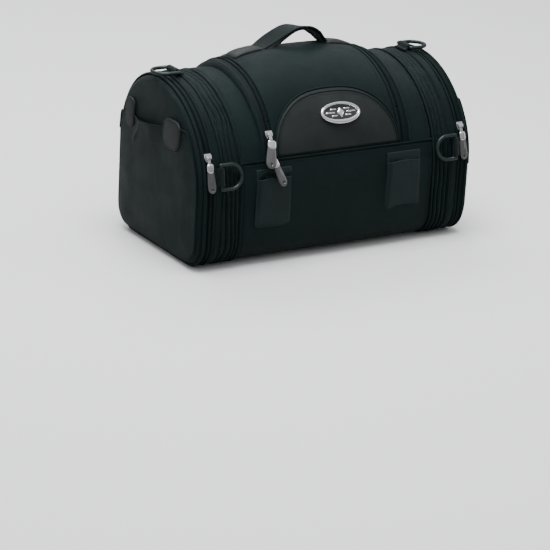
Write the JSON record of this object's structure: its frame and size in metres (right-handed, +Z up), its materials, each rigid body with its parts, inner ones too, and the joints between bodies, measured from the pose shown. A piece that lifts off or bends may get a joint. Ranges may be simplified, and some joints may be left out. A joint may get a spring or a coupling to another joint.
{
  "type": "tail bag",
  "caption": "Roll-shaped soft motorcycle tail bag with a zipped lid, expanding zipped end compartments, carry handle, strap sleeves and D-rings.",
  "frame": {"origin": "centre of the flat base", "axes": "+X along the bag's width towards the right end seen from the badge face, -Y out of the badge face, +Z up"},
  "size_m": [0.433, 0.249, 0.2822],
  "materials": {
    "nylon": "coated woven nylon, black with a cool tint",
    "piping": "corded binding, satin",
    "lining": "thin woven lining, matt",
    "board": "stiff plastic sheet, matt",
    "zip_tape": "zip tape and coil, matt",
    "webbing": "ribbed webbing",
    "leatherette": "fine-grained leatherette, satin",
    "chrome": "bright plated",
    "badge_field": "gloss",
    "pull_grey": "semi-gloss moulded grey",
    "black_metal": "satin black",
    "black_plastic": "moulded, fine texture"
  },
  "bodies": {
    "main_bag": {"front_panel": "nylon", "base_panel": "nylon", "back_panel": "nylon", "top_band_left": "nylon", "top_band_right": "nylon", "body_piping": "piping", "main_lining": "lining", "base_board": "board", "stiffening_hoops": "board", "dividers": "lining", "body_zip_tape": "zip_tape", "strap_sleeves": "leatherette", "rear_straps": "webbing", "rear_buckles": "black_plastic", "gusset_left": "nylon", "gusset_right": "nylon", "main_slider_b": "chrome"},
    "lid": {"lid_panel": "nylon", "lid_lining": "lining", "lid_zip_tape": "zip_tape", "lid_patch": "leatherette", "handle_pads": "leatherette", "badge_rim": "chrome", "badge_face": "badge_field"},
    "handle": {"handle_strap": "webbing"},
    "slider_a": {"main_slider_a": "chrome"},
    "pull_a": {"main_a_link": "chrome", "main_a_pull": "pull_grey"},
    "link_b": {"main_b_link": "chrome"},
    "pull_b": {"main_b_pull": "pull_grey"},
    "pleat_left": {"middle_pleat_left": "nylon"},
    "end_left": {"inner_pleat_left": "nylon", "end_band_left": "nylon", "end_zip_tape_left": "zip_tape", "dring_tabs_left": "webbing"},
    "door_left": {"end_panel_left": "nylon", "end_piping_left": "piping", "panel_zip_tape_left": "zip_tape", "end_pocket_left": "nylon", "pocket_patches_left": "leatherette"},
    "end_slider_left": {"end_slider_left": "chrome"},
    "end_pull_left": {"end_left_link": "chrome", "end_left_pull": "pull_grey"},
    "ring_front_left": {"dring_front_left": "black_metal"},
    "ring_top_left": {"dring_top_left": "black_metal"},
    "pleat_right": {"middle_pleat_right": "nylon"},
    "end_right": {"inner_pleat_right": "nylon", "end_band_right": "nylon", "end_zip_tape_right": "zip_tape", "dring_tabs_right": "webbing"},
    "door_right": {"end_panel_right": "nylon", "end_piping_right": "piping", "panel_zip_tape_right": "zip_tape", "end_pocket_right": "nylon", "pocket_patches_right": "leatherette"},
    "end_slider_right": {"end_slider_right": "chrome"},
    "end_pull_right": {"end_right_link": "chrome", "end_right_pull": "pull_grey"},
    "ring_front_right": {"dring_front_right": "black_metal"},
    "ring_top_right": {"dring_top_right": "black_metal"}
  },
  "joints": [
    {"name": "lid_hinge", "type": "hinge", "parent": "main_bag", "child": "lid", "pos_m": [0, -0.10565, 0.1406], "axis": [1, 0, 0], "range_deg": [0, 120]},
    {"name": "handle_flop", "type": "hinge", "parent": "lid", "child": "handle", "pos_m": [0, 0.028, 0.243], "axis": [1, 0, 0], "range_deg": [-25, 25]},
    {"name": "main_slider_travel", "type": "hinge", "parent": "main_bag", "child": "slider_a", "pos_m": [-0.104, 0.02, 0.11345], "axis": [-1, 0, 0], "range_deg": [0, 54]},
    {"name": "main_pull_a_flip", "type": "hinge", "parent": "slider_a", "child": "pull_a", "pos_m": [-0.104, -0.09815, 0.17107], "axis": [-1, 0, 0], "range_deg": [0, 150]},
    {"name": "main_pull_b_flip", "type": "hinge", "parent": "main_bag", "child": "link_b", "pos_m": [-0.104, -0.10667, 0.14858], "axis": [-1, 0, 0], "range_deg": [0, 150]},
    {"name": "main_pull_b_sway", "type": "hinge", "parent": "link_b", "child": "pull_b", "pos_m": [-0.104, -0.11144, 0.13979], "axis": [0, 0.8788, -0.4772], "range_deg": [-10, 24]},
    {"name": "left_end_expand", "type": "slide", "parent": "main_bag", "child": "end_left", "axis": [-1, 0, 0], "range_m": [0, 0.05]},
    {"name": "left_pleat_unfold", "type": "slide", "parent": "main_bag", "child": "pleat_left", "axis": [-1, 0, 0], "range_m": [0, 0.025]},
    {"name": "left_end_open", "type": "hinge", "parent": "end_left", "child": "door_left", "pos_m": [-0.204, 0, 0.0016], "axis": [0, -1, 0], "range_deg": [0, 80]},
    {"name": "left_end_slider_travel", "type": "hinge", "parent": "end_left", "child": "end_slider_left", "pos_m": [-0.198, 0.02, 0.097], "axis": [-1, 0, 0], "range_deg": [0, 48]},
    {"name": "left_end_pull_flip", "type": "hinge", "parent": "end_slider_left", "child": "end_pull_left", "pos_m": [-0.198, -0.10415, 0.15228], "axis": [-1, 0, 0], "range_deg": [0, 150]},
    {"name": "left_front_ring_flip", "type": "hinge", "parent": "end_left", "child": "ring_front_left", "pos_m": [-0.184, -0.11531, 0.127], "axis": [0, -0.2164, -0.9763], "range_deg": [0, 150]},
    {"name": "left_top_ring_flip", "type": "hinge", "parent": "end_left", "child": "ring_top_left", "pos_m": [-0.184, 0.02, 0.2356], "axis": [0, 1, 0], "range_deg": [0, 110]},
    {"name": "right_end_expand", "type": "slide", "parent": "main_bag", "child": "end_right", "axis": [1, 0, 0], "range_m": [0, 0.05]},
    {"name": "right_pleat_unfold", "type": "slide", "parent": "main_bag", "child": "pleat_right", "axis": [1, 0, 0], "range_m": [0, 0.025]},
    {"name": "right_end_open", "type": "hinge", "parent": "end_right", "child": "door_right", "pos_m": [0.204, 0, 0.0016], "axis": [0, 1, 0], "range_deg": [0, 80]},
    {"name": "right_end_slider_travel", "type": "hinge", "parent": "end_right", "child": "end_slider_right", "pos_m": [0.198, 0.02, 0.097], "axis": [-1, 0, 0], "range_deg": [0, 48]},
    {"name": "right_end_pull_flip", "type": "hinge", "parent": "end_slider_right", "child": "end_pull_right", "pos_m": [0.198, -0.10415, 0.15228], "axis": [-1, 0, 0], "range_deg": [0, 150]},
    {"name": "right_front_ring_flip", "type": "hinge", "parent": "end_right", "child": "ring_front_right", "pos_m": [0.184, -0.11531, 0.127], "axis": [0, 0.2164, 0.9763], "range_deg": [0, 150]},
    {"name": "right_top_ring_flip", "type": "hinge", "parent": "end_right", "child": "ring_top_right", "pos_m": [0.184, 0.02, 0.2356], "axis": [0, -1, 0], "range_deg": [0, 110]}
  ],
  "couplings": [
    {"joint": "main_pull_b_flip", "follows": "main_pull_a_flip", "ratio": 1},
    {"joint": "left_pleat_unfold", "follows": "left_end_expand", "ratio": 0.5},
    {"joint": "right_pleat_unfold", "follows": "right_end_expand", "ratio": 0.5}
  ]
}
